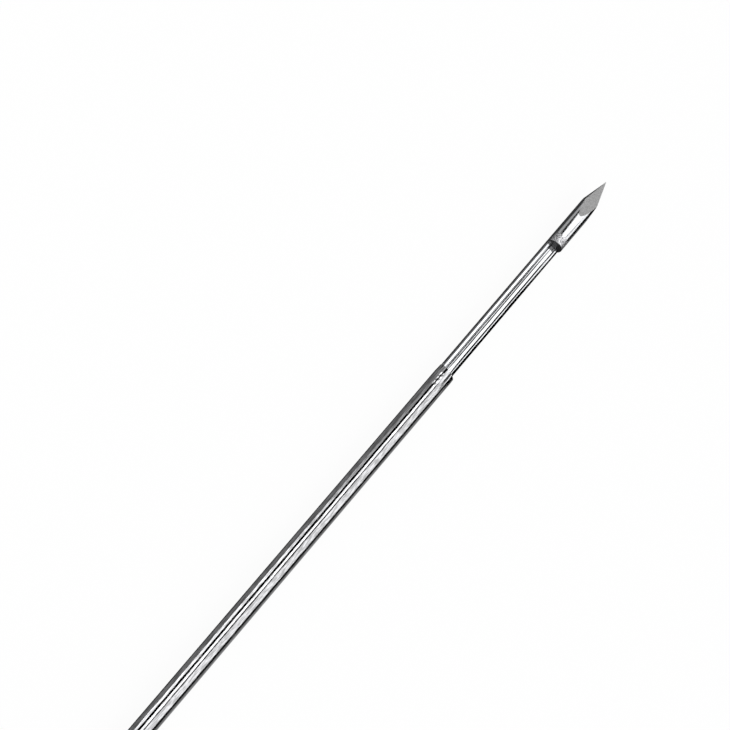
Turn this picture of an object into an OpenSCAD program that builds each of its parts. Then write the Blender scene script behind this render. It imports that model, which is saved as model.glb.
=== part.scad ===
/* [Cannula] */
// Outside diameter of the cannula, 14 gauge
cannula_d = 2.11; // [1.8:0.01:2.5]
// Wall of the thin-walled tube
cannula_wall = 0.07; // [0.06:0.005:0.1]
// Length that stands in front of the cannula hub, to the point of the stylet
needle_length = 100; // [80:5:160]
// Slant of the mouth from square
mouth_slant = 12; // [5:1:20]
// Turn of the mouth's set-back side from the notch's side, anticlockwise seen from the point
mouth_turn = 54; // [0:1:180]
// Length of the ground taper behind the foremost edge of the mouth
taper_length = 0.9; // [0.8:0.1:2]
// Thickness left at the foremost cutting edge
edge_thickness = 0.02; // [0.015:0.005:0.03]

/* [Stylet] */
// Running gap between stylet and cannula, on the radius
running_gap = 0.025; // [0.015:0.005:0.04]
// Length of a tip facet, measured along the needle
facet_length = 5.8; // [4:0.1:6.5]
// Turn of the first facet from the notch's side, clockwise seen from the point
facet_turn = 34; // [0:1:60]
// Distance of the point from the needle's axis, square to the way the first facet faces
point_offset = 0.18; // [0:0.02:0.24]
// From the point back to the front end of the notch, at its lips
notch_setback = 10.1; // [9.4:0.1:11]
// Length of the notch at its lips
notch_length = 19.7; // [18.5:0.1:21.5]
// Lips of the notch below the needle's axis
lip_drop = 0.02; // [0:0.02:0.3]
// Width of the trough between the lips
trough_width = 1.1; // [0.8:0.05:1.3]
// Depth of the trough below the lips
trough_depth = 0.3; // [0.15:0.05:0.4]
// Slope of the notch's end walls, from the needle's axis
end_wall_angle = 80; // [60:1:85]

/* [Travel] */
// How far the cannula slides forward over the notch
stroke = 22; // [20:0.5:23]
// From the point back to the middle of the mouth when the notch is closed
closed_setback = 7; // [6.8:0.1:8]

/* [Hubs] */
// Length of each hub block
hub_length = 9; // [7:0.5:14]
// Width of each hub block
hub_width = 14; // [12.5:0.5:18]
// Height of each hub block
hub_height = 5; // [4.5:0.5:7]
// Radius of the upright corners
hub_corner = 1.6; // [0.8:0.1:2.2]
// Chamfer round the top and bottom rims
hub_chamfer = 0.4; // [0.2:0.05:0.6]
// Length of the nose in front of the cannula hub
nose_length = 5; // [3:0.5:8]
// Diameter of the nose where it meets the block
nose_root_d = 4.2; // [3.8:0.1:4.4]
// Diameter of the nose at its front end
nose_end_d = 3.2; // [2.9:0.1:3.6]
// Diameter of the two upright guide holes
guide_hole_d = 2.6; // [2:0.1:3]
// Distance between the guide holes
guide_spacing = 8.8; // [8:0.1:9.4]
// Gap between the two hubs with the cannula drawn back
hub_gap = 0.3; // [0.2:0.05:0.5]
// Bond line round each shaft in its hub, on the radius
bond_gap = 0.02; // [0.01:0.005:0.03]
// Length of stylet held in its own hub
stylet_seat = 7; // [5:0.5:8]

/* [Hidden] */
$fn = 64;

bore_r = cannula_d / 2 - cannula_wall;
stylet_r = bore_r - running_gap;
axis_h = hub_height / 2;

// Stations along the needle, with the part centred on the origin
total_length = needle_length + nose_length + 2 * hub_length + hub_gap;
tip_x = total_length / 2;
nose_x = tip_x - needle_length;
cannula_hub_x = nose_x - nose_length - hub_length;
stylet_hub_x = cannula_hub_x - hub_gap - hub_length;
stylet_back_x = stylet_hub_x + hub_length - stylet_seat;
mouth_x = tip_x - closed_setback - stroke;
mouth_front_x = mouth_x + cannula_d / 2 * tan(mouth_slant);

// The notch, from its front end at the lips backwards
notch_front_x = tip_x - notch_setback;
notch_back_x = notch_front_x - notch_length;
facet_angle = atan(stylet_r / facet_length);
trough_r = (pow(trough_width / 2, 2) + pow(trough_depth, 2)) / (2 * trough_depth);

// How far a cutting solid reaches past what it cuts
over = 1;
steel = [0.72, 0.73, 0.74];
moulded_white = [0.88, 0.89, 0.88];

// Sets a section drawn in X and Y upright on the needle's axis, at a station
module at_station(x) {
    translate([x, 0, axis_h]) rotate([90, 0, 90]) children();
}

// A round bar along the needle between two stations
module bar(x0, x1, r) {
    at_station(x0) cylinder(r = r, h = x1 - x0);
}

// One facet's cutting block: its underside runs from the point to the bar's surface
module facet_cut() {
    reach = facet_length + over;
    rotate([facet_angle, 0, 0]) translate([-cannula_d, 0, -2 * reach])
        cube([2 * cannula_d, 2 * cannula_d, 3 * reach]);
}

// Section of the notch: all that lies above the lips, and the round trough between them
module notch_section() {
    translate([-cannula_d, -lip_drop]) square([2 * cannula_d, 2 * cannula_d]);
    translate([0, trough_r - lip_drop - trough_depth]) circle(r = trough_r);
}

// Block that keeps the cut out of one end of the notch, behind a sloping wall
module end_wall() {
    translate([0, -lip_drop, 0]) rotate([end_wall_angle - 90, 0, 0])
        translate([-cannula_d, -2 * cannula_d, 0]) cube([2 * cannula_d, 4 * cannula_d, 4 * cannula_d]);
}

module notch_cut() {
    difference() {
        at_station(notch_back_x - cannula_d) linear_extrude(height = notch_length + 2 * cannula_d)
            notch_section();
        at_station(notch_front_x) end_wall();
        at_station(notch_back_x) mirror([0, 0, 1]) end_wall();
    }
}

module stylet() {
    color(steel) difference() {
        bar(stylet_back_x, tip_x + over, stylet_r);
        at_station(tip_x) rotate([0, 0, -facet_turn]) translate([point_offset, 0, 0])
            for (turn = [0:120:240]) rotate([0, 0, turn]) facet_cut();
        notch_cut();
    }
}

// Tube with its tapered front end, as one turned section round the axis
module tapered_tube() {
    back_x = cannula_hub_x;
    outer_r = cannula_d / 2;
    length = mouth_front_x - back_x;
    at_station(back_x) rotate_extrude() polygon([
        [bore_r, 0], [outer_r, 0], [outer_r, length - taper_length],
        [bore_r + edge_thickness, length], [bore_r, length]
    ]);
}

module cannula() {
    color(steel) difference() {
        tapered_tube();
        at_station(mouth_x) rotate([0, 0, mouth_turn]) rotate([-mouth_slant, 0, 0])
            translate([-cannula_d, -2 * cannula_d, 0]) cube([2 * cannula_d, 4 * cannula_d, 4 * cannula_d]);
    }
}

// Plan of a hub block with its rounded corners, drawn in by a margin
module hub_plan(margin) {
    r = hub_corner - margin;
    dx = hub_length / 2 - hub_corner;
    dy = hub_width / 2 - hub_corner;
    square([2 * dx, 2 * (dy + r)], center = true);
    square([2 * (dx + r), 2 * dy], center = true);
    for (sx = [-1, 1], sy = [-1, 1]) translate([sx * dx, sy * dy]) circle(r = r);
}

// Hub block with its two guide holes, standing on the ground from one station forwards
module hub_block(x) {
    translate([x + hub_length / 2, 0, 0]) difference() {
        union() {
            translate([0, 0, hub_chamfer]) linear_extrude(height = hub_height - 2 * hub_chamfer)
                hub_plan(0);
            linear_extrude(height = hub_height) hub_plan(hub_chamfer);
        }
        for (side = [-1, 1]) translate([0, side * guide_spacing / 2, -over])
            cylinder(d = guide_hole_d, h = hub_height + 2 * over);
    }
}

module cannula_hub() {
    color(moulded_white) difference() {
        union() {
            hub_block(cannula_hub_x);
            at_station(nose_x - nose_length - hub_length / 2)
                cylinder(d = nose_root_d, h = hub_length / 2);
            at_station(nose_x - nose_length)
                cylinder(d1 = nose_root_d, d2 = nose_end_d, h = nose_length);
        }
        bar(cannula_hub_x - over, nose_x + over, cannula_d / 2 + bond_gap);
    }
}

module stylet_hub() {
    color(moulded_white) difference() {
        hub_block(stylet_hub_x);
        bar(stylet_back_x, stylet_hub_x + hub_length + over, stylet_r + bond_gap);
    }
}

stylet();
cannula();
cannula_hub();
stylet_hub();
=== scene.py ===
from math import atan, cos, pi, radians, sin, tan

import bmesh
import bpy
from bpy.props import FloatProperty, IntProperty, PointerProperty, StringProperty
from mathutils import Matrix, Vector


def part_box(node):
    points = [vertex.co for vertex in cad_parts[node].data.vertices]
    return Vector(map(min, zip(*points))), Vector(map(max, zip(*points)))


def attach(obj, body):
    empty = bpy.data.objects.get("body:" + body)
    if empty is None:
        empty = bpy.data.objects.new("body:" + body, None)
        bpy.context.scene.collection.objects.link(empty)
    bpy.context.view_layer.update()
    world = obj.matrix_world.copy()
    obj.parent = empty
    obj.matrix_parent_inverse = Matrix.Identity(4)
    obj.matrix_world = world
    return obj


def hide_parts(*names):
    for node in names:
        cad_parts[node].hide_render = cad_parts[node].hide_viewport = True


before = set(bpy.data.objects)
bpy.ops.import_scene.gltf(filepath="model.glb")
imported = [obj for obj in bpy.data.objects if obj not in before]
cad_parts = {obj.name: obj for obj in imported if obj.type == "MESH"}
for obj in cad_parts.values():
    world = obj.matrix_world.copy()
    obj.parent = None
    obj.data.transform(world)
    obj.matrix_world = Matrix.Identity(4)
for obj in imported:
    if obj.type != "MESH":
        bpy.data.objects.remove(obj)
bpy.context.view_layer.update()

bl_info = {
    "name": "Core Biopsy Needle",
    "version": (1, 0, 0),
    "blender": (4, 5, 0),
    "location": "View3D > Sidebar > Needle",
    "description": "Builds a notched stylet in its sliding cannula, its moulded hubs and a studio",
    "category": "Object",
}

MM = 0.001
# What lies closer than this is one point
SLIVER = 0.001 * MM

# Bodies of the imported part
STYLET_BODY = "stylet_set"
CANNULA_BODY = "cannula_set"

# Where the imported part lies
STYLET_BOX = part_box("stylet")
CANNULA_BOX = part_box("cannula")
TIP_X = STYLET_BOX[1].x
AXIS_Z = (CANNULA_BOX[0].z + CANNULA_BOX[1].z) / 2
CANNULA_R = (CANNULA_BOX[1].y - CANNULA_BOX[0].y) / 2
STYLET_R = (STYLET_BOX[1].y - STYLET_BOX[0].y) / 2

# The photograph's frame, and two points on the needle's axis in it, in pixels
PHOTO_SIDE = 730
TIP_PIXEL = (607.6, 182.9)
FOOT_PIXEL = (143.2, 729.1)
# Roll of the view about the needle, and how far its back end comes nearer, in degrees
VIEW_ROLL, VIEW_SLOPE = 36, 16
# How large the needle is drawn at those two points, in pixels for each millimetre
TIP_SCALE = 9.03
FOOT_SCALE = 10.7


class NeedleSizes(bpy.types.PropertyGroup):
    """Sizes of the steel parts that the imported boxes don't give."""

    wall: FloatProperty(
        name="Cannula wall", description="Wall of the thin tube", default=0.07 * MM, unit="LENGTH")
    slant: FloatProperty(
        name="Mouth slant", description="Slant of the mouth from square",
        default=radians(12), subtype="ANGLE")
    mouth_turn: FloatProperty(
        name="Mouth turn", description="Turn of its set-back side from the notch's side",
        default=radians(54), subtype="ANGLE")
    taper: FloatProperty(
        name="Mouth taper", description="Length of the ground taper", default=0.9 * MM, unit="LENGTH")
    edge: FloatProperty(
        name="Cutting edge", description="Thickness left at the foremost edge",
        default=0.02 * MM, unit="LENGTH")
    facet: FloatProperty(
        name="Facet length", description="Length of a tip facet", default=5.8 * MM, unit="LENGTH")
    facet_turn: FloatProperty(
        name="Facet turn", description="Turn of the first facet from the notch's side",
        default=radians(34), subtype="ANGLE")
    point_offset: FloatProperty(
        name="Point offset", description="Distance of the point from the axis",
        default=0.18 * MM, unit="LENGTH")
    notch_front: FloatProperty(
        name="Notch setback", description="From the point to the notch's front",
        default=10.1 * MM, unit="LENGTH")
    notch_length: FloatProperty(
        name="Notch length", description="Length of the notch at its lips",
        default=19.7 * MM, unit="LENGTH")
    lip_drop: FloatProperty(
        name="Lip drop", description="Lips below the axis", default=0.02 * MM, unit="LENGTH")
    trough_width: FloatProperty(
        name="Trough width", description="Width between the lips", default=1.1 * MM, unit="LENGTH")
    trough_depth: FloatProperty(
        name="Trough depth", description="Depth below the lips", default=0.3 * MM, unit="LENGTH")
    wall_angle: FloatProperty(
        name="End wall slope", description="Slope of the notch's ends",
        default=radians(80), subtype="ANGLE")
    dimple_count: IntProperty(
        name="Dimples", description="Dimples that show in ultrasound", default=3, min=1, max=9)
    dimple_pitch: FloatProperty(
        name="Dimple pitch", description="From dimple to dimple", default=0.57 * MM, unit="LENGTH")
    dimple_setback: FloatProperty(
        name="Dimple setback", description="From the mouth to the first dimple",
        default=0.86 * MM, unit="LENGTH")
    dimple_width: FloatProperty(
        name="Dimple width", description="Length of a dimple along the needle",
        default=0.56 * MM, unit="LENGTH")
    dimple_depth: FloatProperty(
        name="Dimple depth", description="Depth pressed into the wall", default=0.06 * MM, unit="LENGTH")
    dimple_turn: FloatProperty(
        name="Dimple turn", description="Turn of the dimples from the notch's side",
        default=radians(50), subtype="ANGLE")
    honing: FloatProperty(
        name="Honed edge", description="Tilt of the narrow flat on the upper edge of the point",
        default=radians(6), subtype="ANGLE")
    lip_round: FloatProperty(
        name="Lip rounding", description="Rounding of the lips' outer edges",
        default=0.17 * MM, unit="LENGTH")
    relief_start: FloatProperty(
        name="Lip relief", description="From the axis to where the one lip starts to fall away",
        default=0.73 * MM, unit="LENGTH")
    relief_turn: FloatProperty(
        name="Relief slope", description="How steeply that lip falls away",
        default=radians(12), subtype="ANGLE")
    rough_front: FloatProperty(
        name="Rough band", description="From the point to the front of the rough band", default=8.88 * MM,
        unit="LENGTH")
    sides: IntProperty(
        name="Sides", description="Sides of the round steel", default=120, min=24, max=256)


class HubSizes(bpy.types.PropertyGroup):
    """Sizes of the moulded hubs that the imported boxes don't give."""

    corner: FloatProperty(
        name="Corner", description="Radius of the upright corners", default=1.6 * MM, unit="LENGTH")
    rim: FloatProperty(
        name="Rim", description="Rounding of the rims", default=0.4 * MM, unit="LENGTH")
    hole: FloatProperty(
        name="Guide hole", description="Diameter of a guide hole", default=2.6 * MM, unit="LENGTH")
    spacing: FloatProperty(
        name="Hole spacing", description="Between the guide holes", default=8.8 * MM, unit="LENGTH")
    nose: FloatProperty(
        name="Nose length", description="Length of the nose", default=5 * MM, unit="LENGTH")
    nose_root: FloatProperty(
        name="Nose root", description="Diameter at the block", default=4.2 * MM, unit="LENGTH")
    nose_end: FloatProperty(
        name="Nose end", description="Diameter at the front", default=3.2 * MM, unit="LENGTH")
    bond: FloatProperty(
        name="Bond line", description="Gap round a shaft", default=0.02 * MM, unit="LENGTH")


class Finishes(bpy.types.PropertyGroup):
    """Colours of the finishes, as sRGB hex, and the studio's strengths."""

    bright_steel: StringProperty(name="Bright steel", description="Drawn stainless bar", default="C9CACC")
    tube_steel: StringProperty(name="Tube steel", description="Drawn stainless tube", default="AEAEB0")
    ground_steel: StringProperty(name="Ground steel", description="Ground facets", default="949494")
    coarse_steel: StringProperty(name="Coarse steel", description="Band by the notch", default="C6C6C8")
    pit_steel: StringProperty(name="Pitted steel", description="Pits in that band", default="8A8A8C")
    # Painted shade: this dark colour stands in for the shade that falls on the notch's end walls
    notch_end_shade_colour: StringProperty(name="Notch end shade", description="The notch's end walls", default="404041")
    # Painted shade: this darker colour draws a dark line along the lips' outer edges
    lip_edge_shade_colour: StringProperty(name="Lip edge shade", description="Lip edges, painted shade", default="6A6A6C")
    hub_white: StringProperty(name="Hub plastic", description="Moulded ABS", default="DCDDD8")
    fill: FloatProperty(name="Fill", description="Strength of the even light", default=0.9)
    softbox: FloatProperty(
        name="Softbox", description="Power of the overhead softbox, in watts", default=0.35)


def linear(hex_colour):
    """An sRGB hex colour as linear red, green, blue and alpha."""
    parts = [int(hex_colour[i:i + 2], 16) / 255 for i in (0, 2, 4)]
    return [c / 12.92 if c <= 0.04045 else ((c + 0.055) / 1.055) ** 2.4 for c in parts] + [1.0]


def add_node(tree, kind, settings=(), links=()):
    """Adds a node, sets its settings and sockets, and links its sockets."""
    node = tree.nodes.new(kind)
    for name, value in dict(settings).items():
        if isinstance(name, int) or name in node.inputs:
            node.inputs[name].default_value = value
        else:
            setattr(node, name, value)
    for name, source in dict(links).items():
        tree.links.new(source, node.inputs[name])
    return node


def new_material(name):
    """An empty node material with its surface shader and output joined."""
    material = bpy.data.materials.new(name)
    material.use_nodes = True
    tree = material.node_tree
    tree.nodes.clear()
    shader = add_node(tree, "ShaderNodeBsdfPrincipled")
    add_node(tree, "ShaderNodeOutputMaterial", links={"Surface": shader.outputs["BSDF"]})
    return material, tree, shader


def streaks(tree, along_mm, across_mm, detail=3.0, turn=0.0):
    """Noise drawn out along the needle: streaks of a real length and width."""
    place = add_node(tree, "ShaderNodeTexCoord")
    along, across = 1 / (along_mm * MM), 1 / (across_mm * MM)
    mapping = add_node(
        tree, "ShaderNodeMapping", {"Scale": (along, across, across), "Rotation": (0, 0, turn)},
        {"Vector": place.outputs["Object"]})
    return add_node(
        tree, "ShaderNodeTexNoise", {"Scale": 1.0, "Detail": detail, "Roughness": 0.6},
        {"Vector": mapping.outputs["Vector"]}).outputs["Fac"]


def spread(tree, source, low, high, start=0.3, end=0.7):
    """Maps a pattern's middle range onto the values from low to high."""
    return add_node(
        tree, "ShaderNodeMapRange",
        {"From Min": start, "From Max": end, "To Min": low, "To Max": high},
        {"Value": source}).outputs["Result"]


def tint(tree, factor, dark, light):
    """Mixes two hex colours by a pattern."""
    mix = add_node(tree, "ShaderNodeMix", {"data_type": "RGBA"})
    mix.inputs[6].default_value = linear(dark)
    mix.inputs[7].default_value = linear(light)
    tree.links.new(factor, mix.inputs[0])
    return mix.outputs[2]


def relief(tree, height, depth_mm):
    """Bump of a real depth from a pattern."""
    return add_node(
        tree, "ShaderNodeBump", {"Distance": depth_mm * MM, "Strength": 1.0},
        {"Height": height}).outputs["Normal"]


def shade(hex_colour, factor):
    """A hex colour made darker or lighter by a factor."""
    parts = [min(255, round(int(hex_colour[i:i + 2], 16) * factor)) for i in (0, 2, 4)]
    return "".join(f"{p:02X}" for p in parts)


def bright_drawn_steel(colour):
    """Stainless bar, drawn bright: mirror-like, with faint lines left along it by the die."""
    material, tree, shader = new_material("bright_drawn_stainless")
    lines = streaks(tree, along_mm=6.0, across_mm=0.12)
    shader.inputs["Metallic"].default_value = 1.0
    base = tint(tree, spread(tree, lines, 0, 1), shade(colour, 0.9), colour)
    tree.links.new(base, shader.inputs["Base Color"])
    tree.links.new(spread(tree, lines, 0.1, 0.24), shader.inputs["Roughness"])
    tree.links.new(relief(tree, lines, 0.004), shader.inputs["Normal"])
    return material


def scratched_tube_steel(colour):
    """Thin stainless tube: drawn lines, and short dashes of scuffing."""
    material, tree, shader = new_material("scuffed_drawn_tube")
    lines = streaks(tree, along_mm=5.0, across_mm=0.16)
    scuffs = streaks(tree, along_mm=0.9, across_mm=0.16, detail=3.0)
    shader.inputs["Metallic"].default_value = 1.0
    base = tint(tree, spread(tree, scuffs, 0, 1, 0.4, 0.62), shade(colour, 0.74), colour)
    tree.links.new(base, shader.inputs["Base Color"])
    marks = streaks(tree, along_mm=1.1, across_mm=0.3, detail=3.0, turn=0.04)
    tree.links.new(spread(tree, marks, 0.06, 0.3, 0.6, 0.72), shader.inputs["Roughness"])
    both = add_node(tree, "ShaderNodeMath", {"operation": "ADD"}, {0: lines, 1: scuffs}).outputs[0]
    tree.links.new(relief(tree, both, 0.004), shader.inputs["Normal"])
    return material


def ground_steel(colour):
    """Facets ground on a fine wheel: an even matte grey with a fine grain, drawn coarse enough to show."""
    material, tree, shader = new_material("fine_ground_stainless")
    grain = streaks(tree, along_mm=0.16, across_mm=0.2, detail=3.0)
    shader.inputs["Metallic"].default_value = 1.0
    base = tint(tree, spread(tree, grain, 0, 1, 0.35, 0.65), shade(colour, 0.85), colour)
    tree.links.new(base, shader.inputs["Base Color"])
    tree.links.new(spread(tree, grain, 0.45, 0.6), shader.inputs["Roughness"])
    tree.links.new(relief(tree, grain, 0.008), shader.inputs["Normal"])
    return material


def coarse_cut_steel(colour, pit_colour):
    """The band in front of the notch, as the wheel left it: coarse, with bright grains and dark pits."""
    material, tree, shader = new_material("coarse_cut_stainless")
    pits = streaks(tree, along_mm=0.2, across_mm=0.24, detail=2.0)
    shader.inputs["Metallic"].default_value = 1.0
    base = tint(tree, spread(tree, pits, 0, 1, 0.38, 0.62), pit_colour, colour)
    tree.links.new(base, shader.inputs["Base Color"])
    tree.links.new(spread(tree, pits, 0.5, 0.3), shader.inputs["Roughness"])
    tree.links.new(relief(tree, pits, 0.06), shader.inputs["Normal"])
    return material


def notch_end_shade_steel(colour):
    """The notch's end walls: painted shade, a dark base colour that stands in for the shade in the notch's
    ends.
    """
    material, tree, shader = new_material("notch_end_painted_shade_stainless")
    pits = streaks(tree, along_mm=0.2, across_mm=0.24, detail=2.0)
    shader.inputs["Metallic"].default_value = 1.0
    # The dark base colour is painted shade of the notch's end walls
    base = tint(tree, spread(tree, pits, 0, 1), shade(colour, 0.6), colour)
    tree.links.new(base, shader.inputs["Base Color"])
    shader.inputs["Roughness"].default_value = 0.4
    return material


def lip_edge_shade_steel(colour):
    """The lips' rounded outer edges: dull, with a dark line of painted shade along each side of the notch."""
    material, tree, shader = new_material("lip_edge_painted_shade_stainless")
    nicks = streaks(tree, along_mm=0.8, across_mm=0.3, detail=2.0)
    shader.inputs["Metallic"].default_value = 1.0
    # The darker base colour is painted shade along the lips' edges
    base = tint(tree, spread(tree, nicks, 0, 1), shade(colour, 0.7), colour)
    tree.links.new(base, shader.inputs["Base Color"])
    shader.inputs["Roughness"].default_value = 0.35
    return material


def trough_steel(colour):
    """Trough and lips, honed lengthwise: mirror bright, with faint lines that run along the notch."""
    material, tree, shader = new_material("honed_stainless")
    lines = streaks(tree, along_mm=6.0, across_mm=0.14)
    shader.inputs["Metallic"].default_value = 1.0
    base = tint(tree, spread(tree, lines, 0, 1), shade(colour, 0.9), colour)
    tree.links.new(base, shader.inputs["Base Color"])
    tree.links.new(spread(tree, lines, 0.03, 0.07), shader.inputs["Roughness"])
    tree.links.new(relief(tree, lines, 0.003), shader.inputs["Normal"])
    return material


def moulded_abs(colour):
    """Moulded ABS with a fine spark-eroded grain, which takes the shine off broad faces."""
    material, tree, shader = new_material("grained_moulded_abs")
    grain = streaks(tree, along_mm=0.16, across_mm=0.16, detail=4.0)
    cloud = streaks(tree, along_mm=4.0, across_mm=4.0, detail=2.0)
    base = tint(tree, spread(tree, cloud, 0, 1), shade(colour, 0.97), colour)
    tree.links.new(base, shader.inputs["Base Color"])
    tree.links.new(spread(tree, grain, 0.36, 0.5), shader.inputs["Roughness"])
    shader.inputs["IOR"].default_value = 1.53
    tree.links.new(relief(tree, grain, 0.012), shader.inputs["Normal"])
    return material


def along_needle(x):
    """Place on the needle's axis at a station, with the shape's own Z turned forwards."""
    return Matrix.Translation((x, 0, AXIS_Z)) @ Matrix.Rotation(pi / 2, 4, "Y")


def cylinder(bm, x0, x1, r0, r1, sides, place=None):
    """A closed round bar or cone along the needle between two stations."""
    where = place or along_needle((x0 + x1) / 2)
    bmesh.ops.create_cone(
        bm, cap_ends=True, segments=sides, radius1=r0, radius2=r1, depth=abs(x1 - x0), matrix=where)


def cut_off(bm, point, normal):
    """Cuts away what lies outside a plane, and gives back the edges of the cut."""
    geometry = bm.verts[:] + bm.edges[:] + bm.faces[:]
    cut = bmesh.ops.bisect_plane(
        bm, geom=geometry, dist=1e-8, plane_co=point, plane_no=normal, clear_outer=True)
    edges = [e for e in cut["geom_cut"] if isinstance(e, bmesh.types.BMEdge)]
    return edges


def cut_flat(bm, point, normal):
    """Cuts a solid with a plane and fills the cut."""
    bmesh.ops.edgeloop_fill(bm, edges=cut_off(bm, point, normal))


def as_object(bm, name):
    """Makes an object from a bmesh, with faces that point outwards."""
    bmesh.ops.recalc_face_normals(bm, faces=bm.faces[:])
    mesh = bpy.data.meshes.new(name)
    bm.to_mesh(mesh)
    bm.free()
    made = bpy.data.objects.new(name, mesh)
    bpy.context.scene.collection.objects.link(made)
    return made


def carve(target, tool, operation="DIFFERENCE"):
    """Joins a tool to a solid or takes it away, and removes the tool."""
    modifier = target.modifiers.new("carve", "BOOLEAN")
    modifier.operation = operation
    modifier.solver = "EXACT"
    modifier.object = tool
    graph = bpy.context.evaluated_depsgraph_get()
    graph.update()
    mesh = bpy.data.meshes.new_from_object(target.evaluated_get(graph))
    target.modifiers.clear()
    old, target.data = target.data, mesh
    mesh.name = old.name
    bpy.data.meshes.remove(old)
    bpy.data.objects.remove(tool)
    # Merges the slivers that a Boolean leaves where two faces all but touch
    bm = bmesh.new()
    bm.from_mesh(mesh)
    bmesh.ops.remove_doubles(bm, verts=bm.verts[:], dist=SLIVER)
    bmesh.ops.dissolve_degenerate(bm, edges=bm.edges[:], dist=SLIVER)
    bm.to_mesh(mesh)
    bm.free()


def dress(made, materials, choose, body, node, sharp=radians(28)):
    """Gives a piece its materials by face, smooths it between sharp edges, and sets it on its body."""
    mesh = made.data
    mesh.materials.clear()
    for material in materials:
        mesh.materials.append(material)
    for face in mesh.polygons:
        face.material_index = choose(face)
    mesh.shade_smooth()
    mesh.set_sharp_from_angle(angle=sharp)
    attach(made, body)
    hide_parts(node)


def notch_planes(sizes):
    """The two sloping end planes of the notch: a point on each, and its normal out of the notch."""
    slope, z = sizes.wall_angle, AXIS_Z - sizes.lip_drop
    front = TIP_X - sizes.notch_front
    back = front - sizes.notch_length
    return (
        (Vector((front, 0, z)), Vector((sin(slope), 0, -cos(slope)))),
        (Vector((back, 0, z)), Vector((-sin(slope), 0, -cos(slope)))),
    )


def round_lips(made, lips_z, width):
    """Rounds the two long outer edges of the notch's lips, and gives the middles of the new faces."""
    bm = bmesh.new()
    bm.from_mesh(made.data)
    bmesh.ops.remove_doubles(bm, verts=bm.verts[:], dist=1e-8)
    lips = [
        e for e in bm.edges
        if all(abs(v.co.z - lips_z) < 1e-7 and abs(v.co.y) > STYLET_R * 0.9 for v in e.verts)
        and abs(e.verts[0].co.x - e.verts[1].co.x) > MM]
    if len(lips) != 2:
        raise RuntimeError(f"{len(lips)} outer lip edges were found, not 2")
    rounded = bmesh.ops.bevel(
        bm, geom=lips, offset=width, offset_type="OFFSET", segments=4, profile=0.5,
        affect="EDGES", material=-1)
    centres = [face.calc_center_median() for face in rounded["faces"]]
    bmesh.ops.recalc_face_normals(bm, faces=bm.faces[:])
    bm.to_mesh(made.data)
    bm.free()
    return centres


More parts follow.
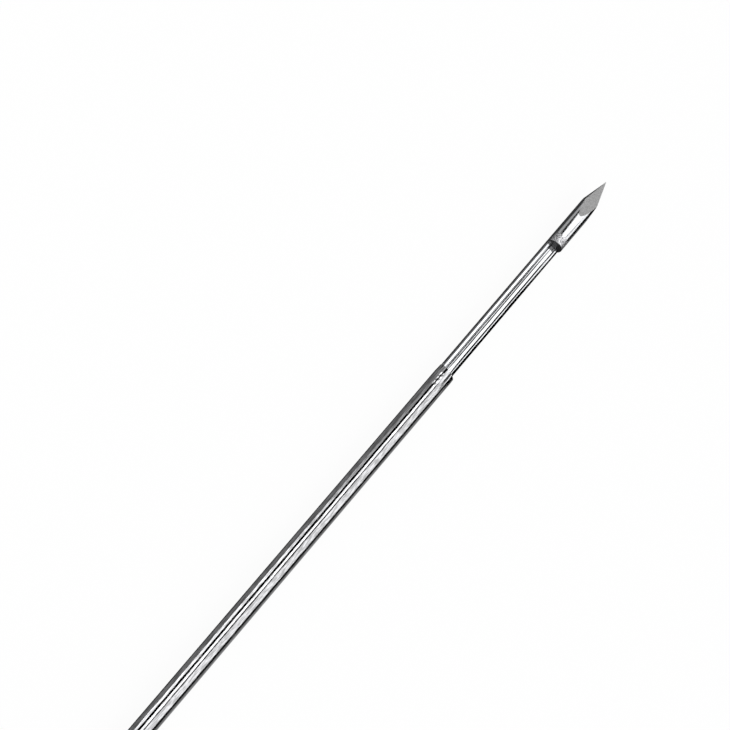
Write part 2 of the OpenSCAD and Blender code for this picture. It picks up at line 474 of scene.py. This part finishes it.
class NEEDLE_OT_stylet(bpy.types.Operator):
    """Builds the stylet: a solid bar with three ground facets and the specimen notch"""

    bl_idname = "needle.stylet"
    bl_label = "Stylet"

    def execute(self, context):
        sizes, finishes = context.scene.needle_sizes, context.scene.needle_finishes
        bm = bmesh.new()
        cylinder(bm, STYLET_BOX[0].x, TIP_X + MM, STYLET_R, STYLET_R, sizes.sides)
        facet_angle = atan(STYLET_R / sizes.facet)
        facets = []
        first = Matrix.Rotation(-sizes.facet_turn, 3, "X")
        point = Vector((TIP_X, 0, AXIS_Z)) + first @ Vector((0, sizes.point_offset, 0))
        for turn in (0, 2 * pi / 3, -2 * pi / 3):
            out = first @ Matrix.Rotation(turn, 3, "X") @ Vector((sin(facet_angle), 0, cos(facet_angle)))
            cut_flat(bm, point, out)
            facets.append(out)
        # A narrow honed flat, as it runs from the point along the edge between two facets
        edge = facets[0].cross(facets[2]).normalized()
        edge = edge if edge.x > 0 else -edge
        between = (facets[0] + facets[2]).normalized()
        cut_flat(bm, point, between * cos(sizes.honing) - edge * sin(sizes.honing))
        # An edge loop round the bar, where the rough band in front of the notch ends
        rough_x = TIP_X - sizes.rough_front
        bmesh.ops.bisect_plane(
            bm, geom=bm.verts[:] + bm.edges[:] + bm.faces[:], dist=1e-8,
            plane_co=Vector((rough_x, 0, 0)), plane_no=Vector((1, 0, 0)))
        made = as_object(bm, "notched_stylet")
        ends = notch_planes(sizes)
        centre_x = (ends[0][0].x + ends[1][0].x) / 2
        reach = sizes.notch_length / 2 + 2 * MM
        trough_r = ((sizes.trough_width / 2) ** 2 + sizes.trough_depth ** 2) / (2 * sizes.trough_depth)
        lips_z = AXIS_Z - sizes.lip_drop
        for tool_name in ("clearing", "trough"):
            bm = bmesh.new()
            if tool_name == "clearing":
                size = Vector((2 * reach, 4 * MM, 4 * MM))
                centre = Vector((centre_x, 0, lips_z + size.z / 2))
                place = Matrix.Translation(centre) @ Matrix.Diagonal(size).to_4x4()
                bmesh.ops.create_cube(bm, size=1, matrix=place)
            else:
                place = Matrix.Translation((centre_x, 0, lips_z - sizes.trough_depth + trough_r))
                place = place @ Matrix.Rotation(pi / 2, 4, "Y")
                cylinder(bm, -reach, reach, trough_r, trough_r, sizes.sides, place)
            for point, normal in ends:
                cut_flat(bm, point, normal)
            carve(made, as_object(bm, tool_name))
        lip_edges = round_lips(made, lips_z, sizes.lip_round)
        # The lip on the -Y side falls away a little, so that it shows a dark outer line
        bm = bmesh.new()
        place = Matrix.Translation((centre_x, -sizes.relief_start, lips_z))
        place = place @ Matrix.Rotation(sizes.relief_turn, 4, "X") @ Matrix.Translation((0, -MM, MM))
        bmesh.ops.create_cube(bm, size=1, matrix=place @ Matrix.Diagonal((2 * reach, 2 * MM, 2 * MM, 1)))
        for point, normal in ends:
            cut_flat(bm, point, normal)
        carve(made, as_object(bm, "lip_relief"))
        materials = [
            bright_drawn_steel(finishes.bright_steel), ground_steel(finishes.ground_steel),
            coarse_cut_steel(finishes.coarse_steel, finishes.pit_steel), trough_steel(finishes.bright_steel),
            notch_end_shade_steel(finishes.notch_end_shade_colour), lip_edge_shade_steel(finishes.lip_edge_shade_colour),
        ]

        def choose(face):
            normal, x, z = face.normal, face.center.x, face.center.z
            if x > rough_x and any(normal.dot(out) > 0.999 for out in facets):
                return 1
            if ends[0][0].x - 0.05 * MM < x < rough_x and abs(normal.x) < 0.1:
                return 2
            if ends[1][0].x - MM < x < ends[0][0].x + MM:
                # Painted shade: the notch's end walls get the dark end-wall colour
                if any(normal.dot(-out) > 0.999 for _, out in ends):
                    return 4
                # Painted shade: the lips' rounded outer edges get the dark lip-edge colour
                if any((face.center - centre).length < 1e-6 for centre in lip_edges):
                    return 5
                across = Vector((0, face.center.y, z - AXIS_Z))
                if normal.dot(across.normalized()) < 0.9:
                    return 3
            return 0

        dress(made, materials, choose, STYLET_BODY, "stylet")
        return {"FINISHED"}


class NEEDLE_OT_cannula(bpy.types.Operator):
    """Builds the cannula: a thin tube whose mouth is ground to a slanted cutting edge"""

    bl_idname = "needle.cannula"
    bl_label = "Cannula"

    def execute(self, context):
        sizes, finishes = context.scene.needle_sizes, context.scene.needle_finishes
        bore = CANNULA_R - sizes.wall
        back, front = CANNULA_BOX[0].x, CANNULA_BOX[1].x
        mouth = context.scene.needle_mouth_x
        tip_front = mouth + CANNULA_R * tan(sizes.slant)
        outline = [
            (back, bore), (back, CANNULA_R), (tip_front - sizes.taper, CANNULA_R),
            (tip_front, bore + sizes.edge), (tip_front, bore),
        ]
        bm = bmesh.new()
        verts = [bm.verts.new((x, 0, AXIS_Z + r)) for x, r in outline]
        edges = [bm.edges.new((a, b)) for a, b in zip(verts, verts[1:] + verts[:1])]
        bmesh.ops.spin(
            bm, geom=verts + edges, cent=(0, 0, AXIS_Z), axis=(1, 0, 0), angle=2 * pi,
            steps=sizes.sides, use_merge=True)
        turned = Matrix.Rotation(sizes.mouth_turn, 3, "X")
        normal = turned @ Vector((cos(sizes.slant), 0, sin(sizes.slant)))
        cut = cut_off(bm, Vector((mouth, 0, AXIS_Z)), normal)
        bmesh.ops.bridge_loops(bm, edges=cut)
        # An edge loop behind the dimples, so that they leave the long tube's shading alone
        last = mouth - sizes.dimple_setback - (sizes.dimple_count - 1) * sizes.dimple_pitch
        bmesh.ops.bisect_plane(
            bm, geom=bm.verts[:] + bm.edges[:] + bm.faces[:], dist=1e-8,
            plane_co=Vector((last - sizes.dimple_width, 0, 0)), plane_no=Vector((1, 0, 0)))
        made = as_object(bm, "sliding_cannula")
        turned = Matrix.Rotation(-sizes.dimple_turn, 3, "X")
        radius = ((sizes.dimple_width / 2) ** 2 + sizes.dimple_depth ** 2) / (2 * sizes.dimple_depth)
        for number in range(sizes.dimple_count):
            x = mouth - sizes.dimple_setback - number * sizes.dimple_pitch
            centre = Vector((x, 0, AXIS_Z)) + turned @ Vector((0, 0, CANNULA_R + radius - sizes.dimple_depth))
            bm = bmesh.new()
            bmesh.ops.create_uvsphere(
                bm, u_segments=96, v_segments=64, radius=radius, matrix=Matrix.Translation(centre))
            carve(made, as_object(bm, "dimple_ball"))
        material = scratched_tube_steel(finishes.tube_steel)
        dress(made, [material], lambda face: 0, CANNULA_BODY, "cannula", sharp=radians(10))
        return {"FINISHED"}


def hub_body(name, box, sizes, block_front):
    """A rounded hub block over a node's box, up to where its block ends."""
    low, high = box
    size = Vector((block_front - low.x, high.y - low.y, high.z - low.z))
    centre = Vector(((block_front + low.x) / 2, 0, (low.z + high.z) / 2))
    bm = bmesh.new()
    bmesh.ops.create_cube(bm, size=1, matrix=Matrix.Translation(centre) @ Matrix.Diagonal(size).to_4x4())
    upright = [e for e in bm.edges if abs((e.verts[0].co - e.verts[1].co).z) > size.z / 2]
    bmesh.ops.bevel(
        bm, geom=upright, offset=sizes.corner, offset_type="OFFSET", segments=10, profile=0.5,
        affect="EDGES", material=-1)
    rims = [e for e in bm.edges if all(abs(abs(v.co.z - centre.z) - size.z / 2) < 1e-7 for v in e.verts)
            and len(e.link_faces) == 2 and abs(e.link_faces[0].normal.z - e.link_faces[1].normal.z) > 0.5]
    bmesh.ops.bevel(
        bm, geom=rims, offset=sizes.rim, offset_type="OFFSET", segments=5, profile=0.5,
        affect="EDGES", material=-1)
    return as_object(bm, name)


def drill_hub(made, box, sizes, centre_x, shaft_r, shaft_from, shaft_to):
    """Drills the guide holes, with lightly broken edges, and the shaft's bore."""
    rim = 0.15 * MM
    for side in (-1, 1):
        bm = bmesh.new()
        radius = sizes.hole / 2
        low, high = box[0].z, box[1].z
        outline = [(low - MM, radius + rim), (low, radius + rim), (low + rim, radius),
                   (high - rim, radius), (high, radius + rim), (high + MM, radius + rim)]
        verts = [bm.verts.new((centre_x + r, side * sizes.spacing / 2, z)) for z, r in outline]
        edges = [bm.edges.new(pair) for pair in zip(verts, verts[1:])]
        bmesh.ops.spin(
            bm, geom=verts + edges, cent=(centre_x, side * sizes.spacing / 2, 0), axis=(0, 0, 1),
            angle=2 * pi, steps=64, use_merge=True)
        open_edges = [e for e in bm.edges if e.is_boundary]
        bmesh.ops.holes_fill(bm, edges=open_edges)
        carve(made, as_object(bm, "guide_drill"))
    bm = bmesh.new()
    cylinder(bm, shaft_from, shaft_to, shaft_r + sizes.bond, shaft_r + sizes.bond, 64)
    carve(made, as_object(bm, "shaft_drill"))


class NEEDLE_OT_hubs(bpy.types.Operator):
    """Builds the two moulded hubs, one bonded to the cannula and one to the stylet"""

    bl_idname = "needle.hubs"
    bl_label = "Hubs"

    def execute(self, context):
        sizes, finishes = context.scene.needle_hubs, context.scene.needle_finishes
        material = moulded_abs(finishes.hub_white)
        front_box, back_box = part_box("cannula_hub"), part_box("stylet_hub")

        block_front = front_box[1].x - sizes.nose
        made = hub_body("moulded_cannula_hub", front_box, sizes, block_front)
        bm = bmesh.new()
        root_x = (block_front + front_box[0].x) / 2
        outline = [(root_x, 0), (root_x, sizes.nose_root / 2), (block_front, sizes.nose_root / 2),
                   (front_box[1].x - sizes.rim / 2, sizes.nose_end / 2),
                   (front_box[1].x, sizes.nose_end / 2 - sizes.rim / 2), (front_box[1].x, 0)]
        verts = [bm.verts.new((x, 0, AXIS_Z + r)) for x, r in outline]
        edges = [bm.edges.new(pair) for pair in zip(verts, verts[1:])]
        bmesh.ops.spin(
            bm, geom=verts + edges, cent=(0, 0, AXIS_Z), axis=(1, 0, 0), angle=2 * pi,
            steps=96, use_merge=True)
        bmesh.ops.remove_doubles(bm, verts=bm.verts[:], dist=1e-8)
        carve(made, as_object(bm, "nose"), "UNION")
        drill_hub(made, front_box, sizes, root_x, CANNULA_R, front_box[0].x - MM, front_box[1].x + MM)
        dress(made, [material], lambda face: 0, CANNULA_BODY, "cannula_hub")

        made = hub_body("moulded_stylet_hub", back_box, sizes, back_box[1].x)
        centre_x = (back_box[0].x + back_box[1].x) / 2
        drill_hub(made, back_box, sizes, centre_x, STYLET_R, STYLET_BOX[0].x, back_box[1].x + MM)
        dress(made, [material], lambda face: 0, STYLET_BODY, "stylet_hub")
        return {"FINISHED"}


def photo_camera(sensor=36.0):
    """The photograph's camera, worked out from where the needle's two ends lie in its frame."""
    middle = PHOTO_SIDE / 2
    roll, slope = radians(VIEW_ROLL), radians(VIEW_SLOPE)
    dx, dy = TIP_PIXEL[0] - FOOT_PIXEL[0], TIP_PIXEL[1] - FOOT_PIXEL[1]
    run = (dx * dx + dy * dy) ** 0.5
    # The depth between both ends follows from the two scales, and the length from the slope
    length = run / ((TIP_SCALE + FOOT_SCALE) / 2) * MM / cos(slope)
    depth = length * sin(slope)
    tip_distance = depth / (1 - TIP_SCALE / FOOT_SCALE)
    focal = TIP_SCALE / MM * tip_distance

    def seen(pixel, distance):
        right, up = pixel[0] - middle, middle - pixel[1]
        return Vector((right * distance / focal, up * distance / focal, -distance))

    tip = seen(TIP_PIXEL, tip_distance)
    foot = seen(FOOT_PIXEL, tip_distance - depth)
    forward = (tip - foot).normalized()
    towards = -((tip + foot) / 2).normalized()
    towards = (towards - forward * towards.dot(forward)).normalized()
    side = forward.cross(towards)
    up = (towards * cos(roll) + side * sin(roll)).normalized()
    left = up.cross(forward)
    # Rows are the part's axes as the camera sees them, so this matrix turns camera space to the part's
    turn = Matrix((forward, left, up))
    place = Vector((TIP_X, 0, AXIS_Z)) - turn @ tip
    return turn, place, focal * sensor / PHOTO_SIDE


def seen_directly(tree):
    """One for rays from the camera and those that metal or glass sends on, and nought for the rest."""
    path = add_node(tree, "ShaderNodeLightPath")
    either = add_node(tree, "ShaderNodeMath", {"operation": "MAXIMUM"}, {
        0: path.outputs["Is Camera Ray"], 1: path.outputs["Is Glossy Ray"]}).outputs[0]
    return add_node(tree, "ShaderNodeMath", {"operation": "MAXIMUM"}, {
        0: either, 1: path.outputs["Is Transmission Ray"]}).outputs[0]


def studio_world(scene, fill):
    """A plain even room: white where it is seen, and a lower fill where it only lights."""
    world = bpy.data.worlds.new("studio")
    scene.world = world
    world.use_nodes = True
    tree = world.node_tree
    tree.nodes.clear()
    even = add_node(tree, "ShaderNodeBackground", {"Color": linear("FFFFFF"), "Strength": fill})
    white = add_node(tree, "ShaderNodeBackground", {"Color": linear("FFFFFF"), "Strength": 1.0})
    shown = add_node(tree, "ShaderNodeMixShader", links={
        0: seen_directly(tree), 1: even.outputs[0], 2: white.outputs[0]})
    add_node(tree, "ShaderNodeOutputWorld", links={"Surface": shown.outputs[0]})


def flat_stage(name, centre, size, turn, material):
    """A flat sheet of the stage, turned about the needle's direction."""
    place = Matrix.Translation(centre) @ Matrix.Rotation(turn, 4, "X")
    bm = bmesh.new()
    bmesh.ops.create_grid(
        bm, x_segments=1, y_segments=1, size=0.5, matrix=place @ Matrix.Diagonal((size[0], size[1], 1, 1)))
    made = as_object(bm, name)
    made.data.materials.append(material)
    return made


def lit_card(name, brightness, centre, size, turn, fade=None):
    """A card that only the bright steel sees, lit evenly or fading along the needle."""
    material = bpy.data.materials.new(name)
    material.use_nodes = True
    tree = material.node_tree
    tree.nodes.clear()
    glow = add_node(tree, "ShaderNodeEmission", {"Color": linear("FFFFFF"), "Strength": brightness})
    add_node(tree, "ShaderNodeOutputMaterial", links={"Surface": glow.outputs[0]})
    if fade:
        start, end, last = fade
        place = add_node(tree, "ShaderNodeTexCoord").outputs["Object"]
        along = add_node(tree, "ShaderNodeSeparateXYZ", links={"Vector": place}).outputs["X"]
        ramp = add_node(
            tree, "ShaderNodeMapRange",
            {"From Min": start * MM, "From Max": end * MM, "To Min": brightness, "To Max": last},
            {"Value": along})
        tree.links.new(ramp.outputs["Result"], glow.inputs["Strength"])
    card = flat_stage(name, centre, size, turn, material)
    card.visible_camera = False
    card.visible_diffuse = False
    card.visible_shadow = False
    card.visible_transmission = False


# Long cards over the cannula, over the point and over the open notch: from and to which angle off overhead,
# towards +Y, in degrees, and how bright
CANNULA_ROOM = (
    (-97, -70, 0.4),
    (-70, -41, 0.02),
    (-41, 20, 2.3),
    (20, 33, 0.02),
    (33, 53, 4.0),
    (53, 79, 0.0),
    (79, 95, 3.2),
)
STYLET_ROOM = (
    (-97, -90, 0.3),
    (-90, -46, 0.0),
    (-46, -16, 2.0),
    (-16, -2, 0.4),
    (-2, 50, 2.2),
    (50, 85, 0.0),
    (85, 95, 0.6),
)
NOTCH_ROOM = (
    (-97, -90, 0.3),
    (-90, -40, 0.0),
    (-40, -32, 2.8),
    (-32, -2, 0.2),
    (-2, 43, 2.4),
    (43, 70, 0.0),
    (70, 95, 1.0),
)
# Cards on the floor: from and to which place across the needle, in millimetres, and how bright
CANNULA_GROUND = (
    (-300, -1.8, 0.6),
    (-1.8, 1.6, 0.05),
    (1.6, 12, 0.35),
    (12, 300, 3.2),
)
STYLET_GROUND = (
    (-300, -1.8, 0.25),
    (-1.8, 5.6, 0.06),
    (5.6, 300, 0.6),
)
# Where along the needle the cards over it and on the floor change, in millimetres
MOUTH_CHANGE, NOTCH_CHANGE, GROUND_CHANGE = 151, 217, 34
# The bright streak on the cannula fades towards its mouth: from where to where, and how bright it ends
ROOM_FADE, GROUND_FADE = (45, 120, 0.9), (8, 26, 0.9)
# How much of the floor that is seen is plain white, the rest being its own shading
PAPER_WHITE = 0.93
# The floor and its cards lie a hair under the part, so that no two faces share a plane
FLOOR_Z, GROUND_CARDS_Z = -0.05 * MM, -0.02 * MM
# How far off the needle the hung cards are, in metres, and half their reach, in millimetres
CARD_DISTANCE = 0.35
CARD_REACH = 800


def hang_cards(name, cards, start, end, fade=None):
    """Hangs long cards side by side over a stretch of the needle, the last of them fading."""
    centre_x, length = (start + end) / 2 * MM, (end - start) * MM
    for number, (low, high, brightness) in enumerate(cards):
        middle, width = radians((low + high) / 2), radians(high - low)
        centre = Vector((0, sin(middle), cos(middle))) * CARD_DISTANCE + Vector((centre_x, 0, AXIS_Z))
        size = (length, 2 * CARD_DISTANCE * tan(width / 2))
        last = number == len(cards) - 1
        lit_card(f"{name}_{number}", brightness, centre, size, -middle, fade if last else None)


def lay_cards(name, cards, start, end, fade=None):
    """Lays cards on the floor side by side under a stretch of the needle, the last of them fading."""
    centre_x, length = (start + end) / 2 * MM, (end - start) * MM
    for number, (low, high, brightness) in enumerate(cards):
        centre = Vector((centre_x, (low + high) / 2 * MM, GROUND_CARDS_Z))
        size = (length, (high - low) * MM)
        last = number == len(cards) - 1
        lit_card(f"{name}_{number}", brightness, centre, size, 0, fade if last else None)


class NEEDLE_OT_stage(bpy.types.Operator):
    """Sets the camera, the pale floor and the soft light"""

    bl_idname = "needle.stage"
    bl_label = "Stage"

    def execute(self, context):
        scene, finishes = context.scene, context.scene.needle_finishes
        scene.view_settings.view_transform = "Standard"
        turn, place, lens = photo_camera()
        camera = bpy.data.cameras.new("photo_camera")
        camera.sensor_width = 36.0
        camera.lens = lens
        camera.clip_start, camera.clip_end = 0.01, 10
        holder = bpy.data.objects.new("photo_camera", camera)
        holder.matrix_world = Matrix.Translation(place) @ turn.to_4x4()
        scene.collection.objects.link(holder)
        scene.camera = holder

        floor, tree, shader = new_material("pale_paper")
        shader.inputs["Base Color"].default_value = linear("F8F8F8")
        shader.inputs["Roughness"].default_value = 0.9
        shader.inputs["Specular IOR Level"].default_value = 0.0
        white = add_node(tree, "ShaderNodeEmission", {"Color": linear("FFFFFF"), "Strength": 1.0})
        share = add_node(
            tree, "ShaderNodeMath", {"operation": "MULTIPLY", 1: PAPER_WHITE}, {0: seen_directly(tree)})
        shown = add_node(tree, "ShaderNodeMixShader", links={
            0: share.outputs[0], 1: shader.outputs[0], 2: white.outputs[0]})
        output = next(n for n in tree.nodes if n.type == "OUTPUT_MATERIAL")
        tree.links.new(shown.outputs[0], output.inputs["Surface"])
        flat_stage("floor", Vector((0, 0, FLOOR_Z)), (4, 4), 0, floor)

        hang_cards("cannula_card", CANNULA_ROOM, -CARD_REACH, MOUTH_CHANGE, ROOM_FADE)
        hang_cards("notch_card", NOTCH_ROOM, MOUTH_CHANGE, NOTCH_CHANGE)
        hang_cards("stylet_card", STYLET_ROOM, NOTCH_CHANGE, CARD_REACH)
        lay_cards("cannula_ground", CANNULA_GROUND, -CARD_REACH, GROUND_CHANGE, GROUND_FADE)
        lay_cards("stylet_ground", STYLET_GROUND, GROUND_CHANGE, CARD_REACH)

        studio_world(scene, finishes.fill)
        lamp = bpy.data.lights.new("softbox", "AREA")
        lamp.shape = "RECTANGLE"
        lamp.size, lamp.size_y = 0.5, 0.4
        lamp.energy = finishes.softbox
        box = bpy.data.objects.new("softbox", lamp)
        box.matrix_world = Matrix.Translation((-0.05, 0.1, 0.5))
        box.visible_glossy = False
        scene.collection.objects.link(box)
        return {"FINISHED"}


class NEEDLE_PT_panel(bpy.types.Panel):
    """Lists the needle's pieces and its stage"""

    bl_label = "Core Biopsy Needle"
    bl_idname = "NEEDLE_PT_panel"
    bl_space_type = "VIEW_3D"
    bl_region_type = "UI"
    bl_category = "Needle"

    def draw(self, context):
        for operator in BUILD_ORDER:
            self.layout.operator(operator.bl_idname)
        for group in (context.scene.needle_sizes, context.scene.needle_hubs, context.scene.needle_finishes):
            column = self.layout.column(align=True)
            for name in group.__annotations__:
                column.prop(group, name)


BUILD_ORDER = (NEEDLE_OT_stage, NEEDLE_OT_stylet, NEEDLE_OT_cannula, NEEDLE_OT_hubs)
CLASSES = (NeedleSizes, HubSizes, Finishes, *BUILD_ORDER, NEEDLE_PT_panel)


def register():
    for cls in CLASSES:
        bpy.utils.register_class(cls)
    bpy.types.Scene.needle_sizes = PointerProperty(type=NeedleSizes)
    bpy.types.Scene.needle_hubs = PointerProperty(type=HubSizes)
    bpy.types.Scene.needle_finishes = PointerProperty(type=Finishes)
    bpy.types.Scene.needle_mouth_x = FloatProperty(
        name="Mouth", description="Middle of the cannula's mouth", default=TIP_X - 29 * MM, unit="LENGTH")


def unregister():
    for name in ("needle_sizes", "needle_hubs", "needle_finishes", "needle_mouth_x"):
        delattr(bpy.types.Scene, name)
    for cls in reversed(CLASSES):
        bpy.utils.unregister_class(cls)


def main():
    """Builds the needle and its stage."""
    register()
    bpy.ops.needle.stage()
    bpy.ops.needle.stylet()
    bpy.ops.needle.cannula()
    bpy.ops.needle.hubs()


if __name__ == "__main__":
    main()
